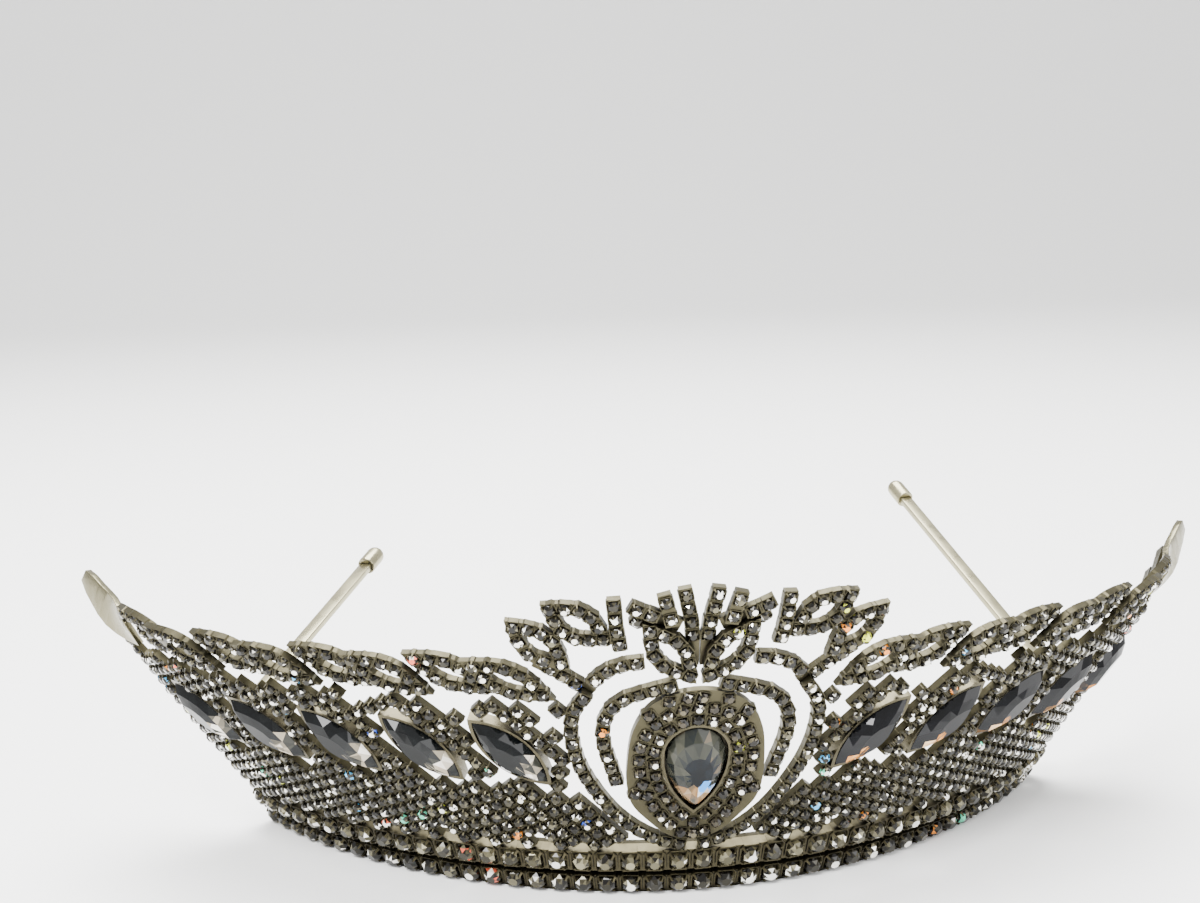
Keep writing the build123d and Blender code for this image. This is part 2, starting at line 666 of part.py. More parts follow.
def leg_cap(side):
    """Rounded cap dipped over the end of a leg."""
    root, tip, way = leg_line(side)
    plane = Plane(origin=tip - way * (CAP_LENGTH * CAP_BARREL), x_dir=Vector(0, 0, 1).cross(way), z_dir=way)
    ball = Solid.make_sphere(CAP_WIDTH / 2)
    barrel = Solid.make_cylinder(CAP_WIDTH / 2, CAP_LENGTH * CAP_BARREL)
    body = (barrel + ball.moved(Pos(0, 0, CAP_LENGTH * CAP_BARREL))).moved(plane.location)
    return (body - leg(side)).solid()


def leg_pad(side):
    """Soldered plate between a leg and the back of the wall."""
    plane = navette_plane(LEG_NAVETTE, -CUP_DEPTH - SEAT - PAD_THICKNESS)
    corner = Pos(LEG_SEATS[side] - PAD_LENGTH / 2, -PAD_WIDTH / 2, 0)
    pad = Solid.make_box(PAD_LENGTH, PAD_WIDTH, PAD_THICKNESS).moved(plane.location * corner)
    pad = pad.mirror(Plane.YZ) if side == "left" else pad
    return (pad - leg(side)).solid()


# ---- write every node ----
def write(name, solids):
    """One STEP file per node."""
    export_step(solids[0] if len(solids) == 1 else Compound(solids), "parts/" + name + ".step")


def write_pair(name, solids):
    """Right-hand node, and its mirror image as the left-hand one."""
    write(name + "_right", solids)
    write(name + "_left", [one.mirror(Plane.YZ) for one in solids])


def both(solids):
    """Solids of the right half with their mirror images."""
    return solids + [one.mirror(Plane.YZ) for one in solids]


write_pair("foot_band", [foot_band_right()])
write_pair("lower_chain", [foot_chain_right()])
write_pair("upper_chain", [top_chain_right()])
write("lower_chain_stones", both(foot_stones(LOWER_STONES)))
write("upper_chain_stones", both(foot_stones(TOP_CHAIN_LOW + TOP_CHAIN_HEIGHT / 2)))
write_pair("tulip_arm", [strip(TULIP)])
write("tulip_stones", both(stones(spots(TULIP))))
write_pair("inner_ring", [strip(RING)])
write("inner_ring_stones", both(stones(spots(RING))))
write("pear_cup", [pear_cup()])
write("pear_stone", [pear_stone()])
write("pear_surround", [surround_plate()])
write("pear_surround_stones", surround_stones())

heart_arms, heart_gems = leaf(*HEART_LEAF)
high_arms, high_gems = leaf(*HIGH_LEAF)
side_arms, side_gems = leaf(*SIDE_LEAF)
write_pair("heart_leaf", heart_arms)
write_pair("high_leaf", high_arms)
write_pair("side_leaf", side_arms)
write_pair("prongs", [strip(PRONG_IN, BEHIND), strip(HEART_BAND, BEHIND), strip(PRONG_OUT)])
write_pair("shoulder_arms", [strip(SHOULDER, BEHIND), strip(ARCH)])
write_pair("knob_arms", [strip(KNOB_ARM), strip(KNOB_POST)])
crest_gems = heart_gems + high_gems + side_gems
covered = list(TULIP + RING)
for path in (PRONG_OUT, ARCH, KNOB_ARM, KNOB_POST):
    crest_gems += stones(spots(path))
    covered += path
for tips in (HEART_LEAF, HIGH_LEAF, SIDE_LEAF):
    for way in (1, -1):
        covered += leaf_arm(*tips, way)[2]
for path in (SHOULDER, PRONG_IN, HEART_BAND):
    crest_gems += stones(uncovered(path, covered), top=BEHIND)
write_pair("crest_stones", crest_gems)

edge_arms, edge_gems = edge_leaves_right()
write_pair("edge_leaves", edge_arms)
write_pair("edge_leaf_stones", edge_gems)
for k in range(NAVETTES):
    write_pair("navette_cup_" + str(k + 1), [navette_cup(k)])
write_pair("navette_stones", [navette_stone(k) for k in range(NAVETTES)])
pave_bars, pave_gems = pave_rows_right()
write_pair("pave_rows", pave_bars)
write_pair("pave_stones", pave_gems)
write_pair("end_tab", [end_tab()])
for side in ("left", "right"):
    write("leg_" + side, [leg(side)])
    write("leg_cap_" + side, [leg_cap(side)])
    write("leg_pad_" + side, [leg_pad(side)])
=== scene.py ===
"""Looks of a bridal tiara made of plated cup chain, navettes and a pear stone.

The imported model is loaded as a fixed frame.  Each round stone of the frame is replaced by
a faceted one in a claw cup of its own, the large stones get real facets, and the legs,
their caps and the end tabs are finished as soft-edged metal.  Lengths are in metres, and
the constant MM turns millimetres into them.
"""

import logging
import math
import random
from dataclasses import dataclass, field
from enum import Enum
from typing import Any, Callable, Iterable, Sequence

import bmesh
import bpy
from mathutils import Matrix, Vector
from mathutils.kdtree import KDTree


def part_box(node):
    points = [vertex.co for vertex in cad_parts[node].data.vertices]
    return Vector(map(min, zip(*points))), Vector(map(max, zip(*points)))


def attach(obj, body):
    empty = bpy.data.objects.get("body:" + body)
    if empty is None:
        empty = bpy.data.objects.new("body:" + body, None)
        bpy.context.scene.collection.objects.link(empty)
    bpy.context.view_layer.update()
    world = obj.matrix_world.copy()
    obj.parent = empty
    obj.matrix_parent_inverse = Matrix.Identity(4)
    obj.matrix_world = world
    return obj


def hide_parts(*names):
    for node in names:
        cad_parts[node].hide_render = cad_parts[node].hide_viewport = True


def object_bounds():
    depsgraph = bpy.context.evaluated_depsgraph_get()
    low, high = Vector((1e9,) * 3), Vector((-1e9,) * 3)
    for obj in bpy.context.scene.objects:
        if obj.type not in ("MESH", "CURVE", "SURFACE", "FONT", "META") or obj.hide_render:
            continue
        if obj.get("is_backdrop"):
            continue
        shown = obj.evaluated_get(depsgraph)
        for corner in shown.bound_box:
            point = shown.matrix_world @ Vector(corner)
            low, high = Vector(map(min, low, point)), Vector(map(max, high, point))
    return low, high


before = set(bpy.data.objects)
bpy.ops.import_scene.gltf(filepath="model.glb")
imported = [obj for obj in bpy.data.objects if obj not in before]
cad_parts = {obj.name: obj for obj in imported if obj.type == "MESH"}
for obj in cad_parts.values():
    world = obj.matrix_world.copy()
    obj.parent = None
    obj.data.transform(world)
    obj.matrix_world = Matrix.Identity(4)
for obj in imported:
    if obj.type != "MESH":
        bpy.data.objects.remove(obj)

LOG = logging.getLogger("tiara")
MM = 0.001
BODY = "root"
SENSOR_MM = 36.0
WELD = 1e-6                     # vertices nearer than this are one
NEIGHBOUR = 1.35                # cup pitches within which another cup is a neighbour
CROWN_RISE = 1.1                # a round stone stands this much taller than its radius
FACET_SPREAD = 0.13             # how far a large facet may differ from its place's tone
NAVETTE_FULLNESS = 0.98
PEAR_SHARE = 0.90               # share of its seat's length that the pear fills
GLASS_IOR = 1.5
COAT_ROUGHNESS = 0.03
IN_LINE = 0.94                  # cosine from which a neighbour lies along the expected row


# ---------------------------------------------------------------- nodes and colours


def linear(code: str) -> tuple[float, float, float, float]:
    """Turns an sRGB hex colour into a linear one.

    Args:
        code: Six hex digits, with or without a leading mark.

    Returns:
        Red, green, blue and an alpha of one.
    """
    digits = code.lstrip("#")
    parts = [int(digits[i:i + 2], 16) / 255 for i in (0, 2, 4)]
    lit = [c / 12.92 if c <= 0.04045 else ((c + 0.055) / 1.055) ** 2.4 for c in parts]
    return lit[0], lit[1], lit[2], 1.0


def add_node(tree: bpy.types.NodeTree, kind: str, settings: dict[str, Any] | None = None,
             inputs: dict[Any, Any] | None = None) -> bpy.types.Node:
    """Adds a node with its settings, its values and its links.

    Args:
        tree: The tree that gets the node.
        kind: The node's type.
        settings: Properties of the node itself.
        inputs: A value or a source socket for each named or numbered input.

    Returns:
        The new node.
    """
    node = tree.nodes.new(kind)
    for key, value in (settings or {}).items():
        setattr(node, key, value)
    for key, value in (inputs or {}).items():
        if isinstance(value, bpy.types.NodeSocket):
            tree.links.new(value, node.inputs[key])
        else:
            node.inputs[key].default_value = value
    return node


def fill_ramp(ramp: bpy.types.ColorRamp, stops: Sequence[tuple[float, str]]) -> None:
    """Gives a colour ramp its stops.

    Args:
        ramp: The ramp to fill.
        stops: Place and sRGB hex colour of each stop, in order.
    """
    while len(ramp.elements) > 1:
        ramp.elements.remove(ramp.elements[-1])
    ramp.elements[0].position, ramp.elements[0].color = stops[0][0], linear(stops[0][1])
    for place, code in stops[1:]:
        ramp.elements.new(place).color = linear(code)


def start_material(name: str) -> tuple[bpy.types.Material, bpy.types.NodeTree, bpy.types.Node]:
    """Makes an empty node material.

    Args:
        name: The material's name.

    Returns:
        The material, its tree and its output node.
    """
    material = bpy.data.materials.new(name)
    material.use_nodes = True
    material.node_tree.nodes.clear()
    out = add_node(material.node_tree, "ShaderNodeOutputMaterial")
    return material, material.node_tree, out


# ---------------------------------------------------------------- finishes


@dataclass(frozen=True)
class PlatedMetal:
    """Electroplated zinc or brass: a satin silver skin with random patches of tarnish.

    A warm grey with soft highlights. Shade is painted into its recesses, darker and browner, and
    stands for tarnish there too.
    """

    name: str
    worn: str                   # the plate's own colour, where there is neither tarnish nor painted shade
    tarnish_and_shade: str                   # tarnish, and the painted shade of the recesses
    roughness: float = 0.38
    blotch_mm: float = 1.6      # size of the patches of tarnish
    grain_mm: float = 0.22      # cast grain, drawn coarse enough to show
    grain_height_mm: float = 0.018
    shade_reach_mm: float = 1.3      # how near a neighbour has to be to paint shade
    full_shade_below: float = 0.25    # share of open air under which a recess is painted fully in shade
    no_shade_above: float = 0.85  # and over which a surface gets no painted shade
    patches: float = 0.9        # how strongly the tarnish patches show
    wiped: float = 0.42         # how much of that is wiped off again
    metallic: float = 0.9       # thin plating over zinc, a little less than solid metal

    def material(self) -> bpy.types.Material:
        """Builds the material."""
        material, tree, out = start_material(self.name)
        place = add_node(tree, "ShaderNodeTexCoord").outputs["Object"]
        blotch = add_node(tree, "ShaderNodeTexNoise", None,
                          {"Vector": place, "Scale": 1 / (self.blotch_mm * MM), "Detail": 3.0})
        grain = add_node(tree, "ShaderNodeTexNoise", None,
                         {"Vector": place, "Scale": 1 / (self.grain_mm * MM), "Detail": 2.0})
        # Painted shade: the occlusion below darkens the colour in recesses towards the dark one.
        shade_occlusion = add_node(tree, "ShaderNodeAmbientOcclusion", {"samples": 4},
                            {"Distance": self.shade_reach_mm * MM})
        spread = add_node(tree, "ShaderNodeMapRange", None,
                          {"Value": shade_occlusion.outputs["AO"], "From Min": self.full_shade_below,
                           "From Max": self.no_shade_above, "To Min": 0.0, "To Max": 1.0})
        patchy = add_node(tree, "ShaderNodeMath", {"operation": "MULTIPLY_ADD"},
                          {0: blotch.outputs["Fac"], 1: self.patches, 2: -self.wiped})
        share = add_node(tree, "ShaderNodeMath", {"operation": "ADD", "use_clamp": True},
                         {0: spread.outputs["Result"], 1: patchy.outputs[0]})
        colour = add_node(tree, "ShaderNodeMix", {"data_type": "RGBA"},
                          {0: share.outputs[0], 6: linear(self.tarnish_and_shade), 7: linear(self.worn)})
        gloss = add_node(tree, "ShaderNodeMapRange", None,
                         {"Value": blotch.outputs["Fac"], "From Min": 0.3, "From Max": 0.7,
                          "To Min": self.roughness - 0.08, "To Max": self.roughness + 0.12})
        bump = add_node(tree, "ShaderNodeBump", None,
                        {"Height": grain.outputs["Fac"], "Strength": 0.5,
                         "Distance": self.grain_height_mm * MM})
        shader = add_node(tree, "ShaderNodeBsdfPrincipled", None,
                          {"Base Color": colour.outputs[2], "Metallic": self.metallic,
                           "Roughness": gloss.outputs["Result"], "Normal": bump.outputs["Normal"]})
        tree.links.new(shader.outputs[0], out.inputs[0])
        return material


@dataclass(frozen=True)
class FoiledCrystal:
    """Cut lead-free glass with a foiled back.

    Each facet is painted one tone that stands for its reflection, a mosaic of near black, olive
    grey and painted white highlights, with painted coloured flashes on a few stones that have a
    rainbow coating.
    """

    name: str
    tones: tuple[tuple[float, str], ...]
    flashes: tuple[tuple[float, str], ...] = ()
    flash_share: float = 0.0    # share of the stones that may flash
    facet_share: float = 0.25   # share of such a stone's facets that do
    roughness: float = 0.09
    cell_mm: float = 0.0        # size of the pavilion facets seen through a large crown
    cell_weight: float = 0.0
    stone_weight: float = 0.0   # how much whole stones differ from one another
    mirror: float = 0.50        # share of the foil's own mirror
    coat: float = 0.12
    gloss: float = 0.5          # how strongly the polished glass reflects the room

    def material(self) -> bpy.types.Material:
        """Builds the material."""
        material, tree, out = start_material(self.name)
        # Painted light: each facet's tone is raised or lowered by the painted highlight or shade
        # of its place on the stone.
        facet = add_node(tree, "ShaderNodeAttribute", {"attribute_name": "facet_tone"})
        lift = add_node(tree, "ShaderNodeAttribute", {"attribute_name": "facet_painted_light"})
        tone = add_node(tree, "ShaderNodeMath", {"operation": "ADD", "use_clamp": True},
                        {0: facet.outputs["Fac"], 1: lift.outputs["Fac"]}).outputs[0]
        if self.stone_weight:
            stone = add_node(tree, "ShaderNodeAttribute", {"attribute_name": "stone_hue"})
            own = add_node(tree, "ShaderNodeMath", {"operation": "MULTIPLY_ADD"},
                           {0: stone.outputs["Fac"], 1: self.stone_weight,
                            2: -self.stone_weight / 2})
            tone = add_node(tree, "ShaderNodeMath", {"operation": "ADD", "use_clamp": True},
                            {0: tone, 1: own.outputs[0]}).outputs[0]
        if self.cell_mm:
            place = add_node(tree, "ShaderNodeTexCoord").outputs["Object"]
            cells = add_node(tree, "ShaderNodeTexVoronoi", None,
                             {"Vector": place, "Scale": 1 / (self.cell_mm * MM)})
            grey = add_node(tree, "ShaderNodeRGBToBW", None, {0: cells.outputs["Color"]})
            offset = add_node(tree, "ShaderNodeMath", {"operation": "MULTIPLY_ADD"},
                              {0: grey.outputs[0], 1: self.cell_weight, 2: -self.cell_weight / 2})
            tone = add_node(tree, "ShaderNodeMath", {"operation": "ADD", "use_clamp": True},
                            {0: tone, 1: offset.outputs[0]}).outputs[0]
        # The ramp turns the tone into the facet's painted reflection, white at the top as a
        # painted highlight.
        ramp = add_node(tree, "ShaderNodeValToRGB", None, {"Fac": tone})
        ramp.color_ramp.interpolation = "LINEAR" if self.cell_mm else "CONSTANT"
        fill_ramp(ramp.color_ramp, self.tones)
        colour = ramp.outputs["Color"]
        if self.flash_share:
            colour = self._flash(tree, colour)
        shader = add_node(tree, "ShaderNodeBsdfPrincipled", None,
                          {"Base Color": colour, "Roughness": self.roughness,
                           "Metallic": self.mirror, "IOR": GLASS_IOR,
                           "Specular IOR Level": self.gloss, "Coat Weight": self.coat,
                           "Coat Roughness": COAT_ROUGHNESS})
        tree.links.new(shader.outputs[0], out.inputs[0])
        return material

    def _flash(self, tree: bpy.types.NodeTree,
               colour: bpy.types.NodeSocket) -> bpy.types.NodeSocket:
        """Paints coloured reflections, the flashes of a rainbow coating, over a few facets of a
        few stones.

        Args:
            tree: The material's tree.
            colour: The plain colour.

        Returns:
            The colour with its flashes.
        """
        stone = add_node(tree, "ShaderNodeAttribute", {"attribute_name": "stone_tone"})
        glint = add_node(tree, "ShaderNodeAttribute", {"attribute_name": "facet_glint"})
        hue = add_node(tree, "ShaderNodeAttribute", {"attribute_name": "stone_hue"})
        chosen = add_node(tree, "ShaderNodeMath", {"operation": "LESS_THAN"},
                          {0: stone.outputs["Fac"], 1: self.flash_share})
        lit = add_node(tree, "ShaderNodeMath", {"operation": "LESS_THAN"},
                       {0: glint.outputs["Fac"], 1: self.facet_share})
        both = add_node(tree, "ShaderNodeMath", {"operation": "MULTIPLY"},
                        {0: chosen.outputs[0], 1: lit.outputs[0]})
        wheel = add_node(tree, "ShaderNodeValToRGB", None, {"Fac": hue.outputs["Fac"]})
        wheel.color_ramp.interpolation = "CONSTANT"
        fill_ramp(wheel.color_ramp, self.flashes)
        mixed = add_node(tree, "ShaderNodeMix", {"data_type": "RGBA"},
                         {0: both.outputs[0], 6: colour, 7: wheel.outputs["Color"]})
        return mixed.outputs[2]


@dataclass(frozen=True)
class PaleFloor:
    """Matt paper sweep under and behind the tiara."""

    name: str = "matt paper"
    colour: str = "fafaf9"

    def material(self) -> bpy.types.Material:
        """Builds the material."""
        material, tree, out = start_material(self.name)
        shader = add_node(tree, "ShaderNodeBsdfPrincipled", None,
                          {"Base Color": linear(self.colour), "Roughness": 0.9})
        tree.links.new(shader.outputs[0], out.inputs[0])
        return material


# Colours of the painted flashes that stand for the reflections of a rainbow coating.
RAINBOW = ((0.0, "e88a2a"), (0.22, "58b4e8"), (0.42, "d8e048"), (0.62, "5fd8b0"),
           (0.80, "4068e8"), (0.92, "e8684a"))
# Tone ramps of the foiled stones: each facet's tone is a painted reflection, and the near-white
# last stop of each ramp is a painted sparkle highlight.
OLIVE_TONES = ((0.0, "0a0805"), (0.24, "14120b"), (0.46, "232015"), (0.66, "3b3727"),
               (0.82, "65604a"), (0.91, "fffdf4"))
PALE_TONES = ((0.0, "120f09"), (0.18, "2a271b"), (0.40, "46422f"), (0.62, "645f48"),
              (0.80, "8e886e"), (0.91, "fffdf6"))
BROWN_TONES = ((0.0, "090704"), (0.24, "14110b"), (0.48, "241f16"), (0.68, "3b3528"),
               (0.83, "625b46"), (0.92, "fbf8ee"))


class Gem(Enum):
    """The glass of each kind of stone."""

    CLEAR = FoiledCrystal("foiled rhinestone, clear", OLIVE_TONES, RAINBOW, 0.06,
                          stone_weight=0.24)
    PALE = FoiledCrystal("foiled rhinestone, pale", PALE_TONES, RAINBOW, 0.03,
                         stone_weight=0.16)
    SMOKED = FoiledCrystal("foiled rhinestone, smoked", BROWN_TONES, RAINBOW, 0.03,
                           stone_weight=0.20)
    # The navette ramps paint each stone's reflections: near black, with painted cream and white
    # highlights; the right wing's copy paints orange reflections in place of cream.
    NAVETTE = FoiledCrystal(
        "foiled navette glass",
        ((0.0, "040505"), (0.34, "0b0d0e"), (0.56, "171919"), (0.72, "35352f"),
         (0.85, "a89c86"), (0.95, "f6f0e6")),
        roughness=0.04, cell_mm=2.6, cell_weight=0.16, mirror=0.10, coat=0.0,
        gloss=0.28)
    NAVETTE_ORANGE_REFLECTIONS = FoiledCrystal(
        "foiled navette glass, painted orange reflections",
        ((0.0, "050506"), (0.34, "0c0d10"), (0.54, "18191c"), (0.66, "5a3f20"),
         (0.76, "c07a28"), (0.93, "f0d0a4")),
        roughness=0.04, cell_mm=2.6, cell_weight=0.16, mirror=0.10, coat=0.0,
        gloss=0.28)
    # The pear's ramp paints its reflections: a dark middle, cream highlights, and a painted blue
    # flash at the very top.
    PEAR = FoiledCrystal(
        "foiled pear glass",
        ((0.0, "04070b"), (0.26, "0f161d"), (0.40, "22241f"), (0.56, "3f3f36"),
         (0.72, "85623a"), (0.85, "a08f74"), (0.95, "d8ccb6"), (0.993, "3f8fdc")),
        roughness=0.04, cell_mm=1.8, cell_weight=0.08, mirror=0.10, coat=0.0,
        gloss=0.25)


class Metal(Enum):
    """The metal of each kind of piece."""

    CHAIN = PlatedMetal("silver-plated cup chain", "484433", "0a0805")
    FOOT = PlatedMetal("silver-plated foot chain", "474230", "090704", roughness=0.34)
    SETTING = PlatedMetal("silver-plated setting", "524d3c", "0f0d08", roughness=0.24)
    # Dark colour of the backing strip: dull metal, and painted shadow along the dark line between
    # the two chains.
    SOLDER_IN_SHADOW = PlatedMetal("soldered backing strip, dull with painted shadow", "29261b", "090705", roughness=0.50)
    LEG = PlatedMetal("satin spring strip", "9c967a", "5d5740", roughness=0.28, blotch_mm=5.0)
    CAST = PlatedMetal("cast end tab", "736e56", "232016", roughness=0.20, blotch_mm=3.2,
                       grain_mm=0.9, grain_height_mm=0.05)


_BUILT: dict[str, bpy.types.Material] = {}


def dress(finish: Enum) -> bpy.types.Material:
    """Gives a finish's material, built once.

    Args:
        finish: A gem or a metal.

    Returns:
        The material.
    """
    made = finish.value
    if made.name not in _BUILT:
        _BUILT[made.name] = made.material()
    return _BUILT[made.name]


# ---------------------------------------------------------------- reading the frame


@dataclass(frozen=True)
class Seat:
    """Where one stone sits: its axes and how large it is."""

    middle: Vector              # middle of its flat back
    facing: Vector              # out of the wall
    along: Vector               # its long axis
    length: float
    width: float
    height: float


def islands(name: str) -> list[list[bmesh.types.BMFace]]:
    """Splits a frame node into its separate solids.

    Args:
        name: The node's name.

    Returns:
        The faces of each solid. The mesh that holds them stays alive with them.
    """
    shell = bmesh.new()
    shell.from_mesh(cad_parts[name].data)
    bmesh.ops.remove_doubles(shell, verts=shell.verts, dist=WELD)
    seen: set[int] = set()
    found = []
    shell.faces.ensure_lookup_table()
    for first in shell.faces:
        if first.index in seen:
            continue
        seen.add(first.index)
        queue, group = [first], []
        while queue:
            face = queue.pop()
            group.append(face)
            for edge in face.edges:
                for other in edge.link_faces:
                    if other.index not in seen:
                        seen.add(other.index)
                        queue.append(other)
        found.append(group)
    KEPT_SHELLS.append(shell)
    return found


KEPT_SHELLS: list[bmesh.types.BMesh] = []


def seat_of(faces: Iterable[bmesh.types.BMFace]) -> Seat:
    """Finds how a stone sits from its largest flat side, which is its back.

    Args:
        faces: The faces of one stone.

    Returns:
        The seat.
    """
    flats: dict[tuple[float, ...], list[bmesh.types.BMFace]] = {}
    for face in faces:
        flats.setdefault(tuple(round(c, 2) for c in face.normal), []).append(face)
    back = max(flats.values(), key=lambda group: sum(face.calc_area() for face in group))
    facing = -back[0].normal.normalized()
    rim = {v for face in back for v in face.verts}
    middle = sum((v.co for v in rim), Vector()) / len(rim)
    far = max(rim, key=lambda v: (v.co - middle).length)
    along = far.co - middle
    along = (along - facing * along.dot(facing)).normalized()
    across = facing.cross(along)
    points = [v.co - middle for face in faces for v in face.verts]
    length = max(p.dot(along) for p in points) - min(p.dot(along) for p in points)
    width = max(p.dot(across) for p in points) - min(p.dot(across) for p in points)
    height = max(p.dot(facing) for p in points)
    return Seat(middle, facing, along, length, width, height)


def read_seats(*names: str) -> list[Seat]:
    """Reads the seats of all stones in some frame nodes."""
    return [seat_of(group) for name in names for group in islands(name)]


def along_the_chain(seats: list[Seat], reach: float,
                    slope: float | None = None) -> list[Vector]:
    """Finds which way the chain runs at each stone.

    Args:
        seats: The stones of one chain.
        reach: How far off a neighbour can be.
        slope: Angle of the row above the horizontal, in radians, where rows lie side by
            side and the nearest stone may belong to another one.

    Returns:
        One unit direction per stone.
    """
    tree = KDTree(len(seats))
    for i, seat in enumerate(seats):
        tree.insert(seat.middle, i)
    tree.balance()
    found = []
    for i, seat in enumerate(seats):
        level = Vector((0, 0, 1)).cross(seat.facing).normalized()
        lift = seat.facing.cross(level)
        side = 1.0 if seat.middle.x > 0 else -1.0
        guess = None
        if slope is not None:
            guess = level * (side * math.cos(slope)) + lift * math.sin(slope)
        best, score = None, 0.0
        for point, j, gap in tree.find_n(seat.middle, 7):
            if j == i or gap > reach:
                continue
            way = point - seat.middle
            way = (way - seat.facing * way.dot(seat.facing)).normalized()
            worth = abs(way.dot(guess)) if guess is not None else reach / max(gap, WELD)
            if worth > score:
                best, score = way, worth
        if best is None or (guess is not None and score < IN_LINE):
            best = guess if guess is not None else level
        found.append(best)
    return found


# ---------------------------------------------------------------- meshes


def new_piece(name: str, mesh: bpy.types.Mesh) -> bpy.types.Object:
    """Links a mesh to the scene as an object at the origin."""
    piece = bpy.data.objects.new(name, mesh)
    bpy.context.scene.collection.objects.link(piece)
    return piece


def solid_from(name: str, points: Sequence[Sequence[float]],
               faces: Sequence[Sequence[int]]) -> bpy.types.Mesh:
    """Makes a closed mesh whose faces point outwards.

    Args:
        name: The mesh's name.
        points: Its vertices.
        faces: Its faces, as vertex numbers.

    Returns:
        The mesh.
    """
    mesh = bpy.data.meshes.new(name)
    mesh.from_pydata([tuple(p) for p in points], [], [tuple(f) for f in faces])
    shell = bmesh.new()
    shell.from_mesh(mesh)
    bmesh.ops.recalc_face_normals(shell, faces=shell.faces)
    shell.to_mesh(mesh)
    shell.free()
    return mesh


def ring_faces(low: Sequence[int], high: Sequence[int]) -> list[list[int]]:
    """Joins two rings by triangles, the upper ring lying half a step further on.

    Args:
        low: Vertex numbers of the lower ring.
        high: Vertex numbers of the upper ring.

    Returns:
        The triangles.
    """
    count = len(low)
    faces = []
    for i in range(count):
        after = (i + 1) % count
        faces.append([low[i], low[after], high[i]])
        faces.append([high[i], low[after], high[after]])
    return faces


# Painted light on a round stone: how much lighter than its own tone the table is painted as a
# highlight, and how much darker the back, edge and star facets are painted as shade.
BACK_PAINTED_SHADE, EDGE_PAINTED_SHADE, STAR_PAINTED_SHADE, TABLE_PAINTED_HIGHLIGHT = -0.3, -0.20, -0.02, 0.10


def brilliant(sides: int = 8) -> bpy.types.Mesh:
    """A round cut stone of radius one: back, crown facets, star facets and table.

    Args:
        sides: How many main facets go round.

    Returns:
        The mesh.
    """
    rings = ((1.0, 0.0, 0.0), (0.84, 0.40, 0.5), (0.46, 0.74, 1.0))
    points, numbers = [], []
    for radius, height, shift in rings:
        numbers.append(list(range(len(points), len(points) + sides)))
        for i in range(sides):
            angle = 2 * math.pi * (i + shift) / sides
            points.append((radius * math.cos(angle), radius * math.sin(angle), height))
    faces = [numbers[0][::-1], numbers[2]]
    faces += ring_faces(numbers[0], numbers[1]) + ring_faces(numbers[1], numbers[2])
    mesh = solid_from("brilliant", points, faces)
    painted_lights = mesh.attributes.new("facet_painted_light", "FLOAT", "FACE")
    crown = 2 + 2 * sides
    for number in range(len(mesh.polygons)):
        painted_lights.data[number].value = (BACK_PAINTED_SHADE if number < 1 else TABLE_PAINTED_HIGHLIGHT if number < 2
                                    else EDGE_PAINTED_SHADE if number < crown else STAR_PAINTED_SHADE)
    return mesh


@dataclass
class ClawCup:
    """Stamped cup with a claw at each corner, for a stone of radius one."""

    half: float = 1.2           # half its outer width
    cut: float = 0.42           # how much of each corner is cut off
    low: float = -1.1           # its floor, under the back of the stone
    rim: float = 0.10           # its rim, above the back of the stone
    wall: float = 0.16
    claw_top: float = 0.58
    claw_width: float = 0.30
    claw_taper: float = 3.4     # its width at the foot over half its width at the tip
    claw_foot: float = 0.18     # thickness at the foot
    claw_lean: float = 0.34     # how far the outside leans in over the stone
    claw_reach: float = 0.56    # how far the tip reaches in
    claw_droop: float = 0.04    # how much lower the tip is

    def outline(self, half: float, height: float) -> list[tuple[float, float, float]]:
        """Corners of a square with its corners cut off."""
        near = half - self.cut
        corners = [(half, near), (near, half), (-near, half), (-half, near),
                   (-half, -near), (-near, -half), (near, -half), (half, -near)]
        return [(x, y, height) for x, y in corners]

    def claw(self, quarter: int) -> list[Vector]:
        """Shapes one claw, bent over the edge of the stone.

        Args:
            quarter: Which corner of the cup it stands at.

        Returns:
            Its eight corners, four at the foot and four at the tip.
        """
        turn = Matrix.Rotation(math.pi / 4 + quarter * math.pi / 2, 3, "Z")
        out = (self.half - self.cut / 2) * math.sqrt(2)
        broad, thin = self.claw_width / 2, self.claw_width / self.claw_taper
        foot, lean, reach = out - self.claw_foot, out - self.claw_lean, out - self.claw_reach
        top, tip = self.claw_top, self.claw_top - self.claw_droop
        section = [(out, broad, 0.0), (out, -broad, 0.0), (foot, -broad, 0.0),
                   (foot, broad, 0.0), (lean, thin, top), (lean, -thin, top),
                   (reach, -thin, tip), (reach, thin, tip)]
        return [turn @ Vector(p) for p in section]

    def mesh(self) -> bpy.types.Mesh:
        """Builds the cup and its four claws."""
        points: list[Any] = []
        rings = []
        for half, height in ((self.half, self.low), (self.half, self.rim),
                             (self.half - self.wall, self.rim), (self.half - self.wall, 0.0)):
            rings.append(list(range(len(points), len(points) + 8)))
            points += self.outline(half, height)
        faces = [rings[0][::-1], rings[3]]
        for low, high in zip(rings, rings[1:]):
            faces += [[low[i], low[(i + 1) % 8], high[(i + 1) % 8], high[i]] for i in range(8)]
        for quarter in range(4):
            base = len(points)
            points += self.claw(quarter)
            box = ((0, 1, 2, 3), (7, 6, 5, 4), (0, 4, 5, 1), (1, 5, 6, 2), (2, 6, 7, 3),
                   (3, 7, 4, 0))
            faces += [[base + n for n in side] for side in box]
        return solid_from("claw cup", points, faces)


# ---------------------------------------------------------------- geometry nodes


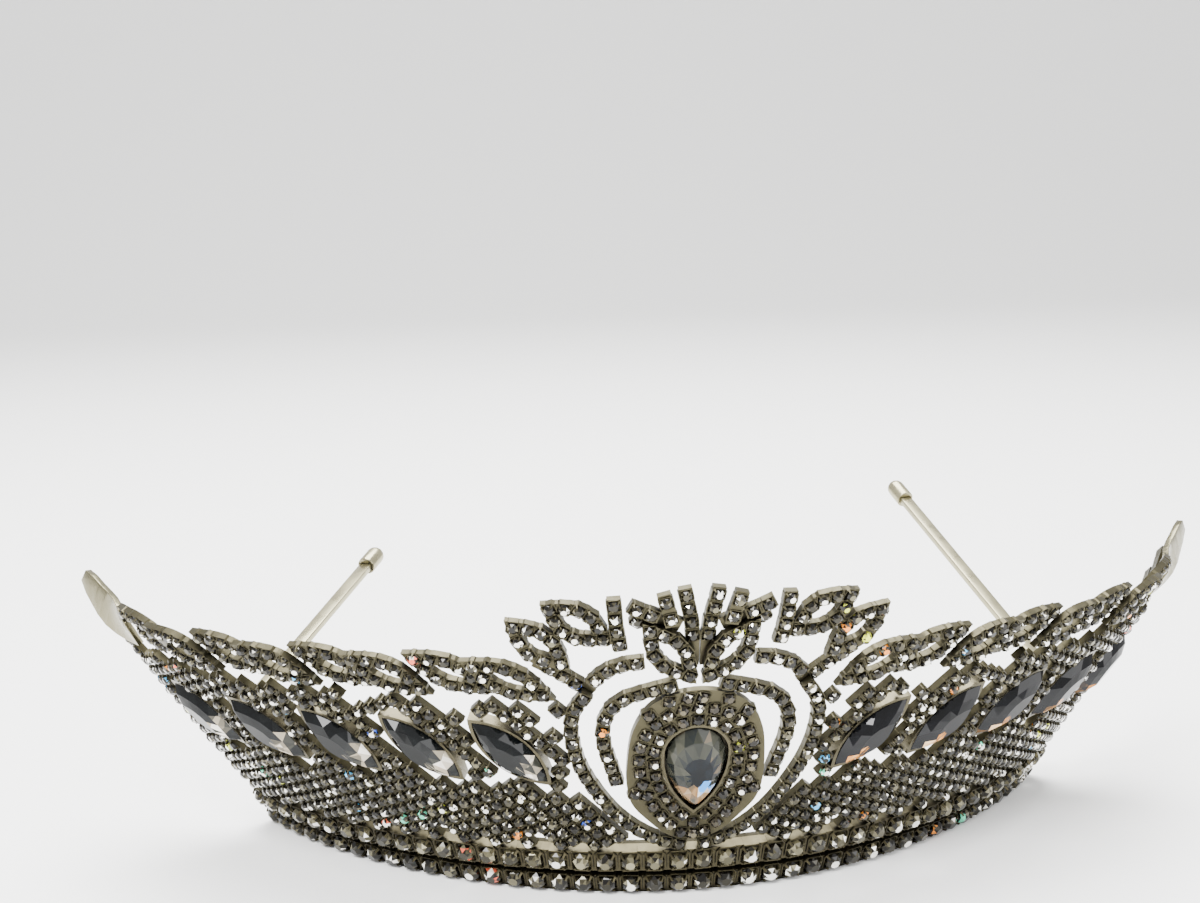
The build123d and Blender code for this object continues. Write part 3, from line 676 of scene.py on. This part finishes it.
class StoneSetter:
    """Geometry Nodes tree that puts a copy of one master on every point."""

    INPUTS = (("Master", "NodeSocketObject"), ("Finish", "NodeSocketMaterial"),
              ("Wobble", "NodeSocketFloat"), ("Seed", "NodeSocketInt"))

    def __init__(self) -> None:
        """Builds the tree."""
        self.tree = bpy.data.node_groups.new("stone setter", "GeometryNodeTree")
        face = self.tree.interface
        face.new_socket(name="Geometry", in_out="INPUT", socket_type="NodeSocketGeometry")
        for name, kind in self.INPUTS:
            face.new_socket(name=name, in_out="INPUT", socket_type=kind)
        face.new_socket(name="Geometry", in_out="OUTPUT", socket_type="NodeSocketGeometry")
        self._fill()

    def _random(self, seed: bpy.types.NodeSocket, shift: int) -> bpy.types.NodeSocket:
        """A random number from 0 to 1 for each element, from a shifted seed."""
        moved = add_node(self.tree, "ShaderNodeMath", {"operation": "ADD"}, {0: seed, 1: shift})
        node = add_node(self.tree, "FunctionNodeRandomValue", {"data_type": "FLOAT"},
                        {"Seed": moved.outputs[0]})
        return node.outputs[1]

    def _store(self, source: bpy.types.NodeSocket, name: str, domain: str,
               value: bpy.types.NodeSocket) -> bpy.types.NodeSocket:
        """Stores a number on the geometry under a name."""
        node = add_node(self.tree, "GeometryNodeStoreNamedAttribute",
                        {"data_type": "FLOAT", "domain": domain},
                        {"Geometry": source, "Name": name, "Value": value})
        return node.outputs[0]

    def _fill(self) -> None:
        """Adds the nodes."""
        tree = self.tree
        given = add_node(tree, "NodeGroupInput").outputs
        master = add_node(tree, "GeometryNodeObjectInfo", None,
                          {"Object": given["Master"], "As Instance": True})
        turn = add_node(tree, "GeometryNodeInputNamedAttribute", {"data_type": "FLOAT_VECTOR"},
                        {"Name": "turn"})
        size = add_node(tree, "GeometryNodeInputNamedAttribute", {"data_type": "FLOAT_VECTOR"},
                        {"Name": "size"})
        low = add_node(tree, "ShaderNodeMath", {"operation": "MULTIPLY"},
                       {0: given["Wobble"], 1: -1.0})
        shake = add_node(tree, "FunctionNodeRandomValue", {"data_type": "FLOAT_VECTOR"},
                         {0: low.outputs[0], 1: given["Wobble"], "Seed": given["Seed"]})
        square = add_node(tree, "FunctionNodeEulerToRotation", None,
                          {0: turn.outputs["Attribute"]})
        tilt = add_node(tree, "FunctionNodeEulerToRotation", None, {0: shake.outputs[0]})
        turned = add_node(tree, "FunctionNodeRotateRotation", {"rotation_space": "LOCAL"},
                          {0: square.outputs[0], 1: tilt.outputs[0]})
        placed = add_node(tree, "GeometryNodeInstanceOnPoints", None,
                          {"Points": given["Geometry"], "Instance": master.outputs["Geometry"],
                           "Rotation": turned.outputs[0], "Scale": size.outputs["Attribute"]})
        # Random numbers per stone and per facet pick the painted reflection tones and the painted
        # flashes.
        current = self._store(placed.outputs[0], "stone_tone", "INSTANCE",
                              self._random(given["Seed"], 11))
        current = self._store(current, "stone_hue", "INSTANCE", self._random(given["Seed"], 23))
        real = add_node(tree, "GeometryNodeRealizeInstances", None, {"Geometry": current})
        current = self._store(real.outputs[0], "facet_tone", "FACE",
                              self._random(given["Seed"], 37))
        current = self._store(current, "facet_glint", "FACE", self._random(given["Seed"], 53))
        finished = add_node(tree, "GeometryNodeSetMaterial", None,
                            {"Geometry": current, "Material": given["Finish"]})
        add_node(tree, "NodeGroupOutput", None, {0: finished.outputs[0]})

    def place(self, name: str, seats: list[Seat], ways: list[Vector],
              sizes: list[tuple[float, float, float]], master: bpy.types.Object,
              finish: bpy.types.Material, wobble: float, seed: int) -> bpy.types.Object:
        """Puts the master on every seat and returns one plain mesh object.

        Args:
            name: The piece's name.
            seats: The stones' seats.
            ways: The direction of the chain at each seat.
            sizes: Scale of each copy along the chain, across it and outwards.
            master: The mesh object to copy.
            finish: Its material.
            wobble: Largest tilt of a copy, in radians.
            seed: Seed of the random numbers.

        Returns:
            The piece, at the origin.
        """
        points = bpy.data.meshes.new(name + " points")
        points.from_pydata([seat.middle for seat in seats], [], [])
        turns, scales = [], []
        for seat, way, size in zip(seats, ways, sizes):
            across = seat.facing.cross(way).normalized()
            axes = Matrix((way, across, seat.facing)).transposed()
            turns += list(axes.to_euler())
            scales += list(size)
        for label, values in (("turn", turns), ("size", scales)):
            kept = points.attributes.new(label, "FLOAT_VECTOR", "POINT")
            kept.data.foreach_set("vector", values)
        piece = new_piece(name, points)
        modifier = piece.modifiers.new("setter", "NODES")
        modifier.node_group = self.tree
        values = {"Master": master, "Finish": finish, "Wobble": wobble, "Seed": seed}
        for socket in self.tree.interface.items_tree:
            if socket.in_out == "INPUT" and socket.name in values:
                modifier[socket.identifier] = values[socket.name]
        return bake_piece(piece)


def bake_piece(piece: bpy.types.Object) -> bpy.types.Object:
    """Turns a piece's live modifiers into a plain mesh.

    Args:
        piece: The object with its modifiers.

    Returns:
        The same object, with the result as its mesh.
    """
    graph = bpy.context.evaluated_depsgraph_get()
    done = bpy.data.meshes.new_from_object(piece.evaluated_get(graph),
                                           preserve_all_data_layers=True, depsgraph=graph)
    piece.modifiers.clear()
    piece.data = done
    return piece


# ---------------------------------------------------------------- sub-assemblies


def settle(piece: bpy.types.Object, slot: str, *replaced: str) -> bpy.types.Object:
    """Makes a finished piece ride on the tiara.

    Args:
        piece: The piece.
        slot: The record's material slot; not used.
        replaced: Frame nodes that it stands for.

    Returns:
        The piece.
    """
    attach(piece, BODY)
    if replaced:
        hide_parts(*replaced)
    LOG.info("%s: %d faces", piece.name, len(piece.data.polygons))
    return piece


@dataclass
class StoneRun:
    """Round stones of one stretch of chain, with their cups."""

    name: str
    nodes: tuple[str, ...]
    gem: Gem = Gem.CLEAR
    metal: Metal = Metal.CHAIN
    cup_along: float = 2.26 * MM    # outer size of a cup along the chain
    cup_across: float = 2.3 * MM    # and across it
    slope: float | None = None
    wobble: float = 0.16
    spread: float = 1.12        # the cut stone fills its cup more than the plain one does
    seed: int = 1

    def build(self, setter: StoneSetter, stone: bpy.types.Object,
              cup: bpy.types.Object, cup_half: float) -> None:
        """Sets the stones and stamps the cups.

        Args:
            setter: The tree that copies a master.
            stone: The cut stone of radius one.
            cup: The claw cup for a stone of radius one.
            cup_half: Half the outer width of that cup.
        """
        seats = read_seats(*self.nodes)
        ways = along_the_chain(seats, NEIGHBOUR * self.cup_along, self.slope)
        radius = [seat.width / 2 for seat in seats]
        stones = [(r * self.spread, r * self.spread, r * CROWN_RISE) for r in radius]
        gems = setter.place(self.name + "_gems", seats, ways, stones, stone, dress(self.gem),
                            self.wobble, self.seed)
        settle(gems, "clear_rhinestone", *self.nodes)
        across, along = self.cup_across / 2 / cup_half, self.cup_along / 2 / cup_half
        cups = setter.place(self.name + "_cups", seats, ways, [(along, across, r) for r in radius],
                            cup, dress(self.metal), self.wobble / 4, self.seed + 500)
        settle(cups, "plated_alloy")


@dataclass
class RoundStones:
    """All the round stones of the tiara."""

    cup: ClawCup = field(default_factory=ClawCup)
    row_slope: float = math.radians(52)

    def runs(self) -> list[StoneRun]:
        """The stretches of chain, each with its own glass and cup size."""
        large = {"metal": Metal.FOOT, "cup_along": 3.72 * MM, "wobble": 0.10}
        sided = [(side, f"_{side}") for side in ("left", "right")]
        found = [
            StoneRun("lower_chain", ("lower_chain_stones",), cup_across=3.5 * MM, seed=3, **large),
            StoneRun("upper_chain", ("upper_chain_stones",), Gem.PALE, cup_across=4.2 * MM,
                     seed=4, **large),
            StoneRun("tulip", ("tulip_stones",), seed=5),
            StoneRun("inner_ring", ("inner_ring_stones",), seed=6),
            StoneRun("pear_surround", ("pear_surround_stones",), Gem.SMOKED, seed=7),
        ]
        for number, (side, tail) in enumerate(sided):
            found += [
                StoneRun("crest" + tail, ("crest_stones" + tail,), seed=20 + number),
                StoneRun("edge_leaf" + tail, ("edge_leaf_stones" + tail,), seed=30 + number),
                StoneRun("pave" + tail, ("pave_stones" + tail,), cup_across=2.04 * MM,
                         slope=self.row_slope, seed=40 + number),
            ]
        return found

    def build(self) -> None:
        """Builds every run."""
        setter = StoneSetter()
        stone = bpy.data.objects.new("stone master", brilliant())
        cup = bpy.data.objects.new("cup master", self.cup.mesh())
        for run in self.runs():
            run.build(setter, stone, cup, self.cup.half)
        for master in (stone, cup):
            bpy.data.objects.remove(master)


@dataclass
class LargeStone:
    """A large faceted stone that follows an outline of its own."""

    outline: Callable[[float], tuple[float, float]]     # turn 0..1 to a point of the unit outline
    sides: int = 16
    slab: float = 0.42          # share of the height below the girdle
    mid: tuple[float, float] = (0.80, 0.62)     # size and height of the middle ring
    table: float = 0.50

    def mesh(self, seat: Seat, tone: Callable[[float, float, float], float],
             rng: random.Random) -> bpy.types.Mesh:
        """Cuts the stone for one seat.

        Args:
            seat: Where it sits.
            tone: Tone of a facet from its place along, across and out, each in units of half
                the stone.
            rng: Source of the small differences between facets.

        Returns:
            The mesh, in place.
        """
        crown = seat.height * (1 - self.slab)
        levels = ((1.0, 0.0, 0.0), (1.0, seat.height * self.slab, 0.0),
                  (self.mid[0], seat.height * self.slab + crown * self.mid[1], 0.5),
                  (self.table, seat.height, 1.0), (self.table / 2, seat.height, 1.5))
        across = seat.facing.cross(seat.along)
        flat, points, numbers = [], [], []
        for size, height, shift in levels:
            numbers.append(list(range(len(points), len(points) + self.sides)))
            for i in range(self.sides):
                u, v = self.outline(((i + shift) / self.sides) % 1.0)
                flat.append((u * size, v * size, height / seat.height))
                points.append(seat.middle + seat.along * (u * size * seat.length / 2)
                              + across * (v * size * seat.width / 2) + seat.facing * height)
        faces = [numbers[0][::-1], numbers[4]]
        back, rim = numbers[0], numbers[1]
        faces += [[back[i], back[(i + 1) % self.sides], rim[(i + 1) % self.sides], rim[i]]
                  for i in range(self.sides)]
        for lower, upper in ((rim, numbers[2]), (numbers[2], numbers[3]),
                             (numbers[3], numbers[4])):
            faces += ring_faces(lower, upper)
        mesh = solid_from("large stone", points, faces)
        tones = mesh.attributes.new("facet_tone", "FLOAT", "FACE")
        for number, face in enumerate(mesh.polygons):
            spot = [sum(flat[v][axis] for v in face.vertices) / len(face.vertices)
                    for axis in range(3)]
            value = tone(*spot) + rng.uniform(-FACET_SPREAD, FACET_SPREAD)
            tones.data[number].value = min(1.0, max(0.0, value))
        return mesh


def navette_outline(turn: float) -> tuple[float, float]:
    """Point of a pointed oval of half-length and half-width one."""
    angle = 2 * math.pi * turn
    u = math.cos(angle)
    return u, math.copysign(1 - u * u, math.sin(angle)) * NAVETTE_FULLNESS


def pear_outline(turn: float) -> tuple[float, float]:
    """Point of a pear with its point at -1 and its round end at +1."""
    angle = 2 * math.pi * turn
    u = math.cos(angle)
    narrow = math.sqrt(max(0.0, (1 + u) / 2))
    return u, math.sin(angle) * (0.30 + 0.84 * narrow) if u < 0.999 else 0.0


@dataclass
class LargeStones:
    """The ten navettes and the pear."""

    seed: int = 77

    @staticmethod
    def navette_tone(u: float, v: float, out: float) -> float:
        """Painted reflections: near black over most of the stone, with a painted highlight towards
        the inner tip.
        """
        lit = 0.34 if -0.75 < u < -0.30 and v < 0.15 else 0.0
        return 0.30 - 0.24 * u - 0.10 * v + lit - (0.06 if out > 0.98 else 0.0)

    @staticmethod
    def pear_tone(u: float, v: float, out: float) -> float:
        """Painted reflections: dark in the middle with one painted blue flash, grey above, cream
        highlights towards the point.

        Args:
            u: Place along the stone, from -1 at its point to 1.
            v: Place across it.
            out: Share of the way from the middle to the edge.

        Returns:
            The tone, past one where it flashes.
        """
        # Painted blue flash.
        if math.hypot(u + 0.16, v + 0.18) < 0.13:
            return 1.3
        if math.hypot((u - 0.14) / 0.42, (v + 0.12) / 0.50) < 1.0:
            return 0.10
        if u < -0.22:
            return 0.86 if v < 0.0 else 0.70
        return 0.44

    def build(self) -> None:
        """Cuts each large stone."""
        rng = random.Random(self.seed)
        cut = LargeStone(navette_outline)
        for side in ("left", "right"):
            node = "navette_stones_" + side
            seats = [self.outward(seat) for seat in read_seats(node)]
            meshes = [cut.mesh(seat, self.navette_tone, rng) for seat in seats]
            piece = self.joined("navettes_" + side, meshes)
            # The right wing's navettes are painted with orange reflections, the left's with cream
            # ones.
            glass = Gem.NAVETTE if side == "left" else Gem.NAVETTE_ORANGE_REFLECTIONS
            piece.data.materials.append(dress(glass))
            settle(piece, "navette_crystal", node)
        pear = self.upward(read_seats("pear_stone")[0])
        mesh = LargeStone(pear_outline, sides=18).mesh(pear, self.pear_tone, rng)
        piece = new_piece("pear", mesh)
        piece.data.materials.append(dress(Gem.PEAR))
        settle(piece, "pear_crystal", "pear_stone")

    @staticmethod
    def outward(seat: Seat) -> Seat:
        """Turns a navette's long axis towards its upper, outer tip."""
        flip = -1.0 if seat.along.z < 0 else 1.0
        return Seat(seat.middle, seat.facing, seat.along * flip, seat.length, seat.width,
                    seat.height)

    @staticmethod
    def upward(seat: Seat) -> Seat:
        """Turns the pear's long axis up, and centres it between its ends.

        Args:
            seat: The pear's seat as the frame gives it.

        Returns:
            The seat with the pear's point down.
        """
        low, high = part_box("pear_stone")
        level = Vector((1, 0, 0))
        along = level.cross(seat.facing)
        along = along if along.z > 0 else -along
        length = (high.z - low.z) / max(abs(along.z), 0.1)
        middle = (low + high) / 2 - seat.facing * (seat.height / 2)
        return Seat(middle, seat.facing, along, length * PEAR_SHARE, high.x - low.x, seat.height)

    @staticmethod
    def joined(name: str, meshes: list[bpy.types.Mesh]) -> bpy.types.Object:
        """Joins meshes that carry facet tones into one object.

        Args:
            name: The object's name.
            meshes: The meshes to join.

        Returns:
            The object.
        """
        shell = bmesh.new()
        for mesh in meshes:
            shell.from_mesh(mesh)
        whole = bpy.data.meshes.new(name)
        shell.to_mesh(whole)
        shell.free()
        return new_piece(name, whole)


@dataclass
class MetalWork:
    """The frame nodes that keep their shape and only need their metal."""

    soft_edge: float = 0.22 * MM
    softened: dict[str, tuple[str, Metal]] = field(default_factory=lambda: {
        "leg_left": ("spring_strip", Metal.LEG), "leg_right": ("spring_strip", Metal.LEG),
        "leg_cap_left": ("leg_cap", Metal.LEG), "leg_cap_right": ("leg_cap", Metal.LEG),
        "end_tab_left": ("plated_alloy", Metal.CAST),
        "end_tab_right": ("plated_alloy", Metal.CAST)})

    @staticmethod
    def metal_for(node: str) -> Metal:
        """The metal of a frame node that stays.

        Args:
            node: The node's name.

        Returns:
            Its metal.
        """
        # The foot band and leg pads get the dark finish: dull metal with painted shadow.
        if node.startswith(("foot_band", "leg_pad")):
            return Metal.SOLDER_IN_SHADOW
        if node.startswith(("lower_chain", "upper_chain")):
            return Metal.FOOT
        if node.startswith(("navette_cup", "pear_cup")):
            return Metal.SETTING
        return Metal.CHAIN

    def build(self) -> None:
        """Softens the bare metal pieces and dresses the rest."""
        for node, (slot, metal) in self.softened.items():
            settle(self.soften(node, metal), slot, node)
        for node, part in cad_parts.items():
            if not part.hide_render:
                part.data.materials.clear()
                part.data.materials.append(dress(self.metal_for(node)))

    def soften(self, node: str, metal: Metal) -> bpy.types.Object:
        """Copies a node with its hard edges rounded off.

        Args:
            node: The frame node.
            metal: Its metal.

        Returns:
            The new piece.
        """
        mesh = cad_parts[node].data.copy()
        shell = bmesh.new()
        shell.from_mesh(mesh)
        bmesh.ops.remove_doubles(shell, verts=shell.verts, dist=WELD)
        bmesh.ops.dissolve_limit(shell, angle_limit=math.radians(1), verts=shell.verts,
                                 edges=shell.edges)
        shell.to_mesh(mesh)
        shell.free()
        mesh.materials.clear()
        mesh.materials.append(dress(metal))
        piece = new_piece(node + "_finish", mesh)
        bevel = piece.modifiers.new("soft edge", "BEVEL")
        bevel.width, bevel.segments = self.soft_edge, 3
        bevel.limit_method, bevel.angle_limit = "ANGLE", math.radians(35)
        bake_piece(piece)
        piece.data.shade_smooth()
        return piece


# ---------------------------------------------------------------- stage


@dataclass
class Studio:
    """Paper sweep, soft lights and camera."""

    eye: tuple[float, float, float] = (-34.088 * MM, -229.035 * MM, 114.147 * MM)
    right: tuple[float, float, float] = (0.99511, -0.09597, -0.02328)
    up: tuple[float, float, float] = (0.03955, 0.17136, 0.98441)
    lens: float = 45.04         # on a 36 mm wide sensor
    paper: PaleFloor = field(default_factory=PaleFloor)
    sky: str = "ffffff"

    def build(self) -> None:
        """Builds the stage."""
        self.sweep()
        self.lights()
        self.camera()

    def sweep(self) -> None:
        """Floor that curves up into a backdrop."""
        near, far, bend, high, half = -2.0, 1.1, 0.6, 2.4, 3.0
        steps = 12
        line = [(near, 0.0)]
        for i in range(steps + 1):
            angle = math.pi / 2 * i / steps
            line.append((far + bend * math.sin(angle), bend * (1 - math.cos(angle))))
        line.append((far + bend, high))
        points = [(side * half, y, z) for y, z in line for side in (-1, 1)]
        faces = [(2 * i, 2 * i + 1, 2 * i + 3, 2 * i + 2) for i in range(len(line) - 1)]
        mesh = bpy.data.meshes.new("sweep")
        mesh.from_pydata(points, [], faces)
        mesh.shade_smooth()
        mesh.materials.append(self.paper.material())
        new_piece("sweep", mesh)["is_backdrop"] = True

    def lights(self) -> None:
        """Large soft lights above and to both sides, and an even pale sky."""
        world = bpy.data.worlds.new("studio")
        world.use_nodes = True
        back = world.node_tree.nodes["Background"]
        back.inputs[0].default_value = linear(self.sky)
        back.inputs[1].default_value = 1.3
        bpy.context.scene.world = world
        for name, place, aim, size, power in (
                ("key", (-0.35, -0.45, 0.75), (0, 0, 0.03), 0.4, 17.0),
                ("fill", (0.55, -0.45, 0.35), (0, 0, 0.03), 0.5, 4.0),
                ("top", (0.0, 0.25, 0.8), (0, 0, 0.03), 0.6, 22.0)):
            lamp = bpy.data.lights.new(name, "AREA")
            lamp.size, lamp.energy = size, power
            holder = bpy.data.objects.new(name, lamp)
            holder.location = place
            way = Vector(aim) - Vector(place)
            holder.rotation_euler = way.to_track_quat("-Z", "Y").to_euler()
            bpy.context.scene.collection.objects.link(holder)

    def camera(self) -> None:
        """Camera in front, a little to the wearer's right and above."""
        lens = bpy.data.cameras.new("camera")
        lens.lens, lens.sensor_width = self.lens, SENSOR_MM
        lens.clip_start, lens.clip_end = 0.01, 20.0
        eye = bpy.data.objects.new("camera", lens)
        x, y = Vector(self.right).normalized(), Vector(self.up).normalized()
        axes = Matrix((x, y, x.cross(y))).transposed().to_4x4()
        eye.matrix_world = Matrix.Translation(Vector(self.eye)) @ axes
        bpy.context.scene.collection.objects.link(eye)
        bpy.context.scene.camera = eye


def corners() -> list[list[float]]:
    """The shown object's lowest and highest corner, as plain lists."""
    return [list(corner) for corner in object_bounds()]


def main() -> None:
    """Builds the tiara's looks around the frame."""
    logging.basicConfig(level=logging.INFO, format="%(name)s %(message)s")
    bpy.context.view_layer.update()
    Studio().build()
    RoundStones().build()
    LargeStones().build()
    MetalWork().build()


if __name__ == "__main__":
    main()
